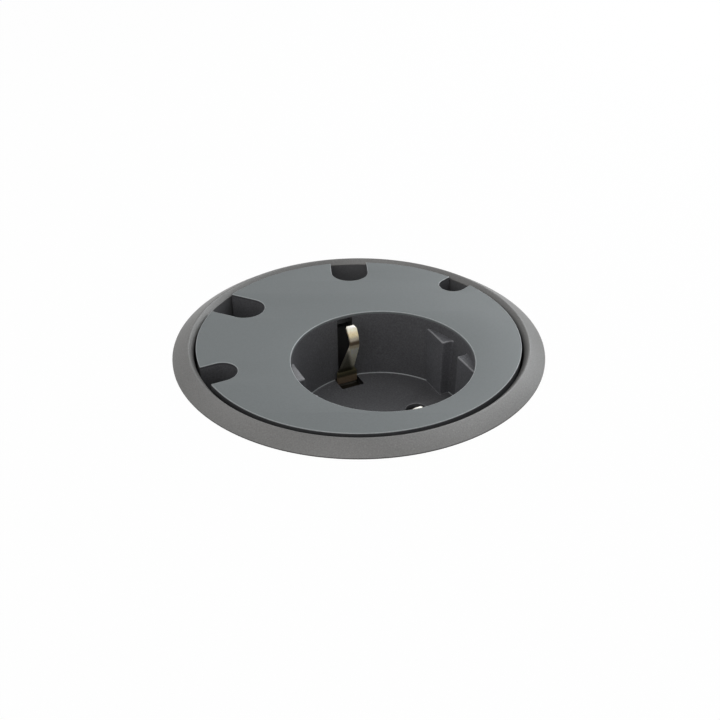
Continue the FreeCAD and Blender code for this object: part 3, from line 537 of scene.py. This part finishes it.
def make_well(finishes):
    """Well with its tapered wall, guide flats, clip slots, floor openings and pin holes."""
    profile = [
        (0, FLOOR_Z), (FLOOR_R, FLOOR_Z), (WELL_TOP_R, PLATE_UNDER), (WELL_R, PLATE_UNDER),
        (WELL_R, DECK_UNDER), (COLLAR_R, DECK_UNDER), (COLLAR_R, COLLAR_UNDER), (WELL_R, COLLAR_UNDER),
        (WELL_R, FLOOR_UNDER), (0, FLOOR_UNDER),
    ]
    bm = bmesh.new()
    add_lathe(bm, rounded(profile, {1: WELL_CORNER, 2: WELL_TOP_ROUND}, steps=5))
    for face in bm.faces:
        middle = face.calc_center_median()
        up = middle.z - FLOOR_Z
        inside = math.hypot(middle.x, middle.y) < WELL_TOP_R
        # Painted highlight: a band of the floor's corner takes the lighter edge finish
        if inside and CORNER_LINE[0] < up / WELL_CORNER < CORNER_LINE[1]:
            face.material_index = finish_number("socket_well", "plate_edge_painted_highlight")
        # Painted shade: the floor takes a darker copy of the well's plastic
        elif abs(up) < NEAR:
            face.material_index = finish_number("socket_well", "floor_painted_shade")
    well = finish_mesh("socket_well_finish", bm, finishes)
    for side in (-1, 1):
        for cutter in (clip_slot, floor_opening, pin_hole):
            combine(well, cutter(side, finishes), "DIFFERENCE")
    for side in (-1, 1):
        for hand in (-1, 1):
            combine(well, guide_flat(side, hand, finishes), "UNION")
    smooth(well.data)
    return into_socket(well)


def clip_slot(side, finishes):
    """Slot behind a clip, as a body to cut away from just inside the foot of the well's wall."""
    half = EARTH_SLOT_W / 2
    y0, y1 = sorted((side * (FLOOR_R - PAST_WALL), side * (COLLAR_R + PAST_COLLAR)))
    outline = rectangle(-half, half, y0, y1)
    # Painted shade: the slot's faces take the housing's near-black finish
    return prism("slot", outline, FLOOR_UNDER - PAST, EARTH_SLOT_TOP, finishes, "housing_plastic")


def floor_opening(side, finishes):
    """Opening of the floor at a clip's foot, as a body to cut away."""
    half = EARTH_OPENING_W / 2
    y0, y1 = sorted((side * EARTH_OPENING_FROM, side * FLOOR_R))
    outline = rounded(rectangle(-half, half, y0, y1), dict.fromkeys(range(4), OPENING_ROUND), steps=4)
    top = FLOOR_Z + WELL_CORNER
    # Painted shade: the opening's faces take the housing's near-black finish
    return prism("opening", outline, FLOOR_UNDER - PAST, top, finishes, "housing_plastic")


def pin_hole(side, finishes):
    """Pin hole with its lead-in, as a body to cut away."""
    radius = PIN_HOLE_R + PIN_HOLE_WIDER
    wide = radius + PIN_HOLE_LEAD
    middle = PIN_HOLE_LEAD * ROUND_MIDDLE
    profile = [
        (0, FLOOR_UNDER - PAST), (radius, FLOOR_UNDER - PAST), (radius, FLOOR_Z - PIN_HOLE_LEAD),
        (radius + middle, FLOOR_Z - middle), (wide, FLOOR_Z), (wide, FLOOR_Z + PAST), (0, FLOOR_Z + PAST),
    ]
    bm = bmesh.new()
    add_lathe(bm, profile, segments=72, centre=(side * PIN_X, 0.0))
    # Painted highlight: the lead-in takes the lighter, glossier edge finish
    for face in bm.faces:
        if FLOOR_Z - PIN_HOLE_LEAD < face.calc_center_median().z < FLOOR_Z:
            face.material_index = finish_number("socket_well", "well_edge_painted_highlight")
    return finish_mesh("hole", bm, finishes)


def guide_flat(side, hand, finishes):
    """One half of a flat, from its face and the side of its guide slot into the well's wall."""
    wall_r = (WELL_R + WELL_TOP_R) / 2
    slot_half = GUIDE_SLOT_W / 2
    near = math.degrees(math.asin((slot_half - GUIDE_SLOT_ROUND) / wall_r))
    far = math.degrees(math.acos(FLAT_X / wall_r))
    centre = (MOUTH_R - GUIDE_SLOT_ROUND, slot_half - GUIDE_SLOT_ROUND)
    hollow = arc(GUIDE_SLOT_ROUND, 90, 0, step=9, centre=centre)
    outline = [(FLAT_X, slot_half)] + hollow + arc(wall_r, near, far)
    outline = [(side * x, hand * y) for x, y in outline]
    corner = 0
    if side * hand < 0:
        outline.reverse()
        corner = len(outline) - 1
    outline = rounded(outline, {corner: FLATS_ROUND}, steps=5)
    loops = [(offset_loop(outline, -FLAT_FOOT_ROUND), FLOOR_Z - WELL_CORNER)]
    loops += foot_round(outline) + round_over(outline, FLAT_TOP, FLAT_TOP_ROUND, side=1, steps=4)
    bm = bmesh.new()
    rings = add_wall(bm, loops)
    edge = finish_number("socket_well", "well_edge_painted_highlight")
    # Painted light: the flats take a lighter copy of the well's plastic
    plain = finish_number("socket_well", "flat_painted_light")
    # Painted highlights: the low rounds, and the top of a flat on the left, take the lighter, glossier
    # edge finish
    for face in bm.faces:
        low, high = heights(face)
        face.material_index = edge if high - low < LOWEST_WALL else plain
    for face in add_fill(bm, rings[0]):
        face.material_index = plain
    for face in add_fill(bm, rings[-1]):
        face.material_index = edge if side < 0 else plain
    return finish_mesh("flat", bm, finishes)


def foot_round(outline, steps=4):
    """Loops of the hollow round that leads the wall of a flat out into the floor."""
    loops = []
    for i in range(steps + 1):
        turn = math.pi / 2 * i / steps
        outwards = FLAT_FOOT_ROUND * (1 - math.sin(turn))
        up = FLAT_FOOT_ROUND * (1 - math.cos(turn))
        loops.append((offset_loop(outline, -outwards), FLOOR_Z - SUNK + up))
    return loops


# Earth bow


def bent_line(points, bends, steps):
    """Open line through points with a round of its own at each inner point."""
    line = [points[0]]
    for i, bend in enumerate(bends, start=1):
        line += corner_arc(points[i - 1], points[i], points[i + 1], bend, steps)
    return line + [points[-1]]


def divided(line, step):
    """The line with extra points, so that none of its parts is longer than step."""
    result = [line[0]]
    for start, end in zip(line, line[1:]):
        count = max(1, math.ceil(math.dist(start, end) / step))
        for i in range(1, count + 1):
            result.append(tuple(a + (b - a) * i / count for a, b in zip(start, end)))
    return result


def lowered(z, drop):
    """Height of a point of a clip whose upper part stands lower by drop."""
    return z - drop if z > UPPER_PART_FROM else z


def clip_half_width(z, drop):
    """Half the width of a clip at a height, with the flare of its foot and the round of its tip."""
    levels = [(lowered(height, drop), width) for height, width in CLIP_WIDTHS]
    half = CLIP_FOOT_W / 2
    for (high, width), (low, wider) in zip(levels, levels[1:]):
        if z >= low:
            share = (high - z) / (high - low)
            if wider == CLIP_FOOT_W:
                share = share ** 2
            half = (width + (wider - width) * share) / 2
            break
    from_tip = (levels[0][0] - z) * CURL_SLANT
    if from_tip >= CLIP_TIP_ROUND:
        return half
    short = CLIP_TIP_ROUND - max(from_tip, 0.0)
    return half - CLIP_TIP_ROUND + math.sqrt(CLIP_TIP_ROUND ** 2 - short ** 2)


def make_earth_bow(finishes):
    """The bow swept along its middle line as a strip with softly rounded edges."""
    front = [(-y, lowered(z, FRONT_CLIP_DROP)) for y, z in reversed(CLIP_LINE)]
    bends = CLIP_BENDS + CLIP_BENDS[::-1]
    line = divided(bent_line(CLIP_LINE + front, bends, steps=14), step=0.12)
    bm = bmesh.new()
    rings = []
    for i, (y, z) in enumerate(line):
        before, after = line[max(i - 1, 0)], line[min(i + 1, len(line) - 1)]
        along = Vector((after[0] - before[0], after[1] - before[1])).normalized()
        drop = 0.0 if y > 0 else FRONT_CLIP_DROP
        half = clip_half_width(z, drop)
        section = rectangle(-half, half, -EARTH_T / 2, EARTH_T / 2)
        ring = []
        for x, out in rounded(section, dict.fromkeys(range(4), EARTH_EDGE_ROUND), steps=3):
            height = min(z + along.x * out, CLIP_TIP_Z - drop)
            across = abs(x) - half + clip_half_width(height, drop)
            ring.append(bm.verts.new((math.copysign(across, x), y - along.y * out, height)))
        rings.append(ring)
    for low, high in zip(rings, rings[1:]):
        bridge(bm, low, high)
    bm.faces.new(rings[0])
    bm.faces.new(rings[-1])
    return into_socket(finish_mesh("earth_bow_finish", bm, finishes, sharp=40))


# Desk


def desk_surface():
    """Desk top with the round cut-out under the flange, its face up."""
    bm = bmesh.new()
    square = rectangle(-DESK_HALF, DESK_HALF, -DESK_HALF, DESK_HALF)
    hole = circle(CUTOUT_R, step=2.5)
    add_fill(bm, *[[bm.verts.new((x, y, DESK_Z)) for x, y in ring] for ring in (square, hole)])
    piece = finish_mesh("desk_surface", bm)
    if piece.data.polygons[0].normal.z < 0:
        piece.data.flip_normals()
    return piece


# Shader nodes


def new_material(name):
    """A material without nodes, and its node tree."""
    made = bpy.data.materials.new(name)
    made.use_nodes = True
    made.node_tree.nodes.clear()
    return made, made.node_tree


def add_node(tree, kind, inputs=None, **settings):
    """Adds a shader node, whose inputs are given as values or as the outputs that feed them."""
    node = tree.nodes.new("ShaderNode" + kind)
    for name, value in settings.items():
        setattr(node, name, value)
    for name, value in (inputs or {}).items():
        if isinstance(value, bpy.types.NodeSocket):
            tree.links.new(value, node.inputs[name])
        else:
            node.inputs[name].default_value = value
    return node


def calculate(tree, operation, *values):
    """Output of one operation on values or outputs."""
    return add_node(tree, "Math", dict(enumerate(values)), operation=operation).outputs[0]


def mapped(tree, value, source, target, kind="LINEAR"):
    """Output of a value brought from one range to another."""
    inputs = {"Value": value, "From Min": source[0], "From Max": source[1],
              "To Min": target[0], "To Max": target[1]}
    return add_node(tree, "MapRange", inputs, interpolation_type=kind).outputs["Result"]


def ramp(tree, value, stops, kind="LINEAR"):
    """Colour of a ramp over stops of (position, colour)."""
    node = add_node(tree, "ValToRGB", {"Fac": value})
    node.color_ramp.interpolation = kind
    elements = node.color_ramp.elements
    for i, (position, colour) in ((0, stops[0]), (1, stops[-1])):
        elements[i].position = position
        elements[i].color = (*colour, 1)
    for position, colour in stops[1:-1]:
        elements.new(position).color = (*colour, 1)
    return node.outputs["Color"]


def scaled(tree, colour, factor):
    """Colour times a factor."""
    return add_node(tree, "VectorMath", {0: colour, "Scale": factor}, operation="SCALE").outputs["Vector"]


def axis_outputs(tree, vector):
    """X, Y and Z of a vector."""
    return add_node(tree, "SeparateXYZ", {"Vector": vector}).outputs


def mixed_shaders(tree, share, first, second):
    """The first shader with a share of the second."""
    return add_node(tree, "MixShader", {"Fac": share, 1: first, 2: second}).outputs["Shader"]


def seen_or_mirrored(tree, path):
    """One for rays that show a thing directly or as a reflection, and nought for the others."""
    return calculate(tree, "MAXIMUM", path["Is Camera Ray"], path["Is Glossy Ray"])


# Materials


def surface(name, dark, light, roughness, metallic=0.0, grain=2200.0, bump=0.02, sparkle=0.0,
            specular=0.5, change=None):
    """Procedural finish: a grained colour between dark and light, uneven gloss and fine bump.

    A change is a function that adds nodes by which the colour also depends on the place."""
    made, tree = new_material(name)
    place = add_node(tree, "TexCoord").outputs["Object"]
    grains = add_node(tree, "TexNoise", {"Vector": place, "Scale": grain, "Detail": 3.0})
    fine = grains.outputs["Fac"]
    blotches = add_node(tree, "TexNoise", {"Vector": place, "Scale": BROAD_SCALE, "Detail": 2.0})
    broad = blotches.outputs["Fac"]
    broad_part = calculate(tree, "MULTIPLY", broad, 1 - FINE_SHARE)
    blend = calculate(tree, "MULTIPLY_ADD", fine, FINE_SHARE, broad_part)
    stops = [(DARK_AT, dark), (LIGHT_AT, light)]
    if sparkle:
        stops.append((GLINT_AT, [min(1.0, channel + sparkle) for channel in light]))
    colour = ramp(tree, blend, stops)
    if change:
        colour = change(tree, place, colour)
    gloss = (roughness - ROUGHNESS_RANGE / 2, roughness + ROUGHNESS_RANGE / 2)
    relief = add_node(tree, "Bump", {"Strength": RELIEF_STRENGTH, "Distance": bump * MM, "Height": fine})
    shader = add_node(tree, "BsdfPrincipled", {
        "Base Color": colour, "Metallic": metallic, "Specular IOR Level": specular,
        "Roughness": mapped(tree, broad, BROAD_RANGE, gloss), "Normal": relief.outputs["Normal"],
    })
    add_node(tree, "OutputMaterial", {"Surface": shader.outputs["BSDF"]})
    return made


def paint_clip_light_shade(tree, place, colour):
    """Paints light and shade on the clips by height, and painted shade on their left side above the feet.
    """
    turned = add_node(tree, "Mapping", {
        "Vector": place, "Location": (SOCKET[0] * MM, SOCKET[1] * MM, 0),
        "Rotation": (0, 0, math.radians(SOCKET_TURN)),
    }, vector_type="TEXTURE")
    axes = axis_outputs(tree, turned.outputs["Vector"])
    front = calculate(tree, "LESS_THAN", axes["Y"], 0.0)
    height = calculate(tree, "MULTIPLY_ADD", front, FRONT_CLIP_DROP * MM, axes["Z"])
    share = mapped(tree, height, (BOW_Z * MM, CLIP_TIP_Z * MM), (0.0, 1.0))
    stops = [((z - BOW_Z) / (CLIP_TIP_Z - BOW_Z), painted_shading) for z, painted_shading in CLIP_PAINTED_LIGHT]
    painted_shading = ramp(tree, share, stops, "EASE")
    across = calculate(tree, "MULTIPLY_ADD", axes["Z"], SHEEN_LEAN, axes["X"])
    sheen = mapped(tree, across, SHEEN_FROM_TO, (SHEEN_DIM, 1.0), "SMOOTHSTEP")
    foot = calculate(tree, "LESS_THAN", axes["Z"], CLIP_FOOT_TOP * MM)
    factor = scaled(tree, painted_shading, calculate(tree, "MAXIMUM", sheen, foot))
    product = {"Factor": 1.0, 6: factor, 7: colour}
    return add_node(tree, "Mix", product, data_type="RGBA", blend_type="MULTIPLY").outputs[2]


def paint_carrier_shade(tree, place, colour):
    """Paints shade on the carrier at its top, which shows through the openings in the well's floor."""
    shade = mapped(tree, axis_outputs(tree, place)["Z"], CARRIER_FROM_TO, (1.0, CARRIER_DARK))
    return scaled(tree, colour, shade)


# Looks of the finishes: the record's material slots, and the painted highlights and painted shades that
# go with them
LOOKS = {
    "ring_metal": dict(dark=(0.152, 0.150, 0.146), light=(0.201, 0.198, 0.193), roughness=0.42,
                       metallic=0.35, grain=3500, bump=0.012, sparkle=0.10),
    # Painted shadow: a dark copy of the ring's metal for the flange's foot at the desk
    "ring_foot_painted_shadow": dict(dark=(0.050, 0.048, 0.046), light=(0.065, 0.063, 0.060), roughness=0.6,
                      metallic=0.35, grain=3500, bump=0.008),
    # Painted shade: a dark copy of the plate's plastic for the walls in the gap at the plate's rim
    "rim_shade": dict(dark=(0.054, 0.055, 0.058), light=(0.068, 0.069, 0.073), roughness=0.7),
    "plate_plastic": dict(dark=(0.154, 0.168, 0.170), light=(0.168, 0.183, 0.185), roughness=0.55,
                          grain=2600, bump=0.006),
    # Painted highlight: a lighter, glossier copy of the plate's plastic for rounded edges
    "plate_edge_painted_highlight": dict(dark=(0.31, 0.33, 0.335), light=(0.38, 0.40, 0.405), roughness=0.30,
                       grain=2600, bump=0.004),
    "well_plastic": dict(dark=(0.078, 0.078, 0.083), light=(0.122, 0.122, 0.130), roughness=0.50,
                         grain=2600, sparkle=0.08),
    # Painted shade: a darker copy of the well's plastic for its floor
    "floor_painted_shade": dict(dark=(0.068, 0.068, 0.072), light=(0.107, 0.107, 0.113), roughness=0.50,
                          grain=2600, sparkle=0.08),
    # Painted light: a lighter copy of the well's plastic for the guide flats
    "flat_painted_light": dict(dark=(0.090, 0.091, 0.098), light=(0.140, 0.141, 0.152), roughness=0.50,
                         grain=2600, sparkle=0.08),
    # Painted highlight: a lighter, glossier copy of the well's plastic for the flats' rounds, the pin
    # holes' lead-ins and the left flats' tops
    "well_edge_painted_highlight": dict(dark=(0.20, 0.20, 0.21), light=(0.26, 0.26, 0.27), roughness=0.26,
                      grain=2600, bump=0.006),
    "sleeve_plastic": dict(dark=(0.115, 0.115, 0.119), light=(0.145, 0.145, 0.150), roughness=0.6),
    # Black plastic, darker still as painted shade; it also lines the clip slots, floor openings and the
    # insert's inside as painted shade
    "housing_plastic": dict(dark=(0.010, 0.010, 0.0105), light=(0.016, 0.016, 0.017), roughness=0.55),
    # Its top is painted dark as shade where it shows through the floor's openings
    "carrier_plastic": dict(dark=(0.55, 0.53, 0.46), light=(0.62, 0.60, 0.53), roughness=0.5,
                            change=paint_carrier_shade),
    # The brass of the bow, times the painted highlights and painted shade of the clips
    "earth_brass": dict(dark=(0.62, 0.53, 0.36), light=(0.74, 0.66, 0.48), roughness=0.34,
                        metallic=0.42, bump=0.003, specular=0.15, change=paint_clip_light_shade),
    "contact_brass": dict(dark=(0.72, 0.66, 0.52), light=(0.82, 0.78, 0.66), roughness=0.25,
                          metallic=1.0, bump=0.004),
    "terminal_brass": dict(dark=(0.55, 0.47, 0.30), light=(0.66, 0.58, 0.40), roughness=0.35,
                           metallic=1.0, bump=0.006),
    "screw_steel": dict(dark=(0.42, 0.42, 0.43), light=(0.55, 0.55, 0.56), roughness=0.3,
                        metallic=1.0, bump=0.005),
    "grommet_rubber": dict(dark=(0.012, 0.012, 0.012), light=(0.020, 0.020, 0.020), roughness=0.7),
}


def desk_material():
    """Near-white desk top with the object's soft shadow, clear when seen from below."""
    made, tree = new_material("desk_white")
    path = add_node(tree, "LightPath").outputs
    glow_share = calculate(tree, "MULTIPLY", seen_or_mirrored(tree, path), DESK_GLOW)
    matte = add_node(tree, "BsdfDiffuse", {"Color": DESK_WHITE}).outputs["BSDF"]
    glow = add_node(tree, "Emission", {"Color": WHITE}).outputs["Emission"]
    top = mixed_shaders(tree, glow_share, matte, glow)
    from_below = add_node(tree, "NewGeometry").outputs["Backfacing"]
    clear = add_node(tree, "BsdfTransparent").outputs["BSDF"]
    add_node(tree, "OutputMaterial", {"Surface": mixed_shaders(tree, from_below, top, clear)})
    return made


def dress(piece, made):
    """Gives a piece one finish in place of those it has."""
    piece.data.materials.clear()
    piece.data.materials.append(made)


# Camera, light and world


def add_camera():
    """The photograph's view, from the front and above."""
    elevation = math.radians(ELEVATION)
    data = bpy.data.cameras.new("camera")
    data.lens = 45.0
    data.sensor_width = 36.0
    data.clip_start = 0.005
    camera = bpy.data.objects.new("camera", data)
    back = Vector((0, -math.cos(elevation), math.sin(elevation)))
    camera.location = Vector(AIM) * MM + back * DISTANCE * MM
    camera.rotation_euler = (math.pi / 2 - elevation, 0, 0)
    bpy.context.scene.collection.objects.link(camera)
    bpy.context.scene.camera = camera


def add_lamp(name, place, size, power, colour):
    """Soft square lamp aimed at the middle of the module."""
    data = bpy.data.lights.new(name, "AREA")
    data.size = size
    data.energy = power
    data.color = colour
    lamp = bpy.data.objects.new(name, data)
    lamp.location = place
    lamp.rotation_euler = (-Vector(place)).to_track_quat("-Z", "Y").to_euler()
    bpy.context.scene.collection.objects.link(lamp)


def add_world():
    """White to the camera, a little less in reflections, plain soft light, dim below the desk."""
    world = bpy.data.worlds.new("world")
    bpy.context.scene.world = world
    world.use_nodes = True
    tree = world.node_tree
    tree.nodes.clear()
    up = axis_outputs(tree, add_node(tree, "TexCoord").outputs["Generated"])["Z"]
    strength = mapped(tree, up, HORIZON, SOFT_LIGHT)
    soft = add_node(tree, "Background", {"Color": SOFT_GREY, "Strength": strength})
    path = add_node(tree, "LightPath").outputs
    full = calculate(tree, "MULTIPLY_ADD", path["Is Camera Ray"], 1 - REFLECTED_WHITE, REFLECTED_WHITE)
    white = add_node(tree, "Background", {"Color": WHITE, "Strength": full})
    seen = seen_or_mirrored(tree, path)
    both = mixed_shaders(tree, seen, soft.outputs["Background"], white.outputs["Background"])
    add_node(tree, "OutputWorld", {"Surface": both})


def main():
    """Finishes the solids, puts the finer pieces in the place of five of them, and sets the view."""
    finishes = {name: surface(name, **look) for name, look in LOOKS.items()}
    slots = {row["node"]: row["material_slot"] for row in frame["record"]["subparts"]}
    for node, piece in frame["nodes"].items():
        dress(piece, finishes[slots[node]])
    makers = {
        "trim_ring": make_trim_ring, "cover_plate": make_cover_plate, "insert_body": make_insert_body,
        "socket_well": make_well, "earth_bow": make_earth_bow,
    }
    for node, maker in makers.items():
        piece = maker([finishes[name] for name in PIECE_FINISHES[node]])
        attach(piece, BODY)
        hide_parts(node)
    dress(desk_surface(), desk_material())
    add_camera()
    for lamp in LAMPS:
        add_lamp(*lamp)
    add_world()
    bpy.context.scene.view_settings.view_transform = "Standard"


main()
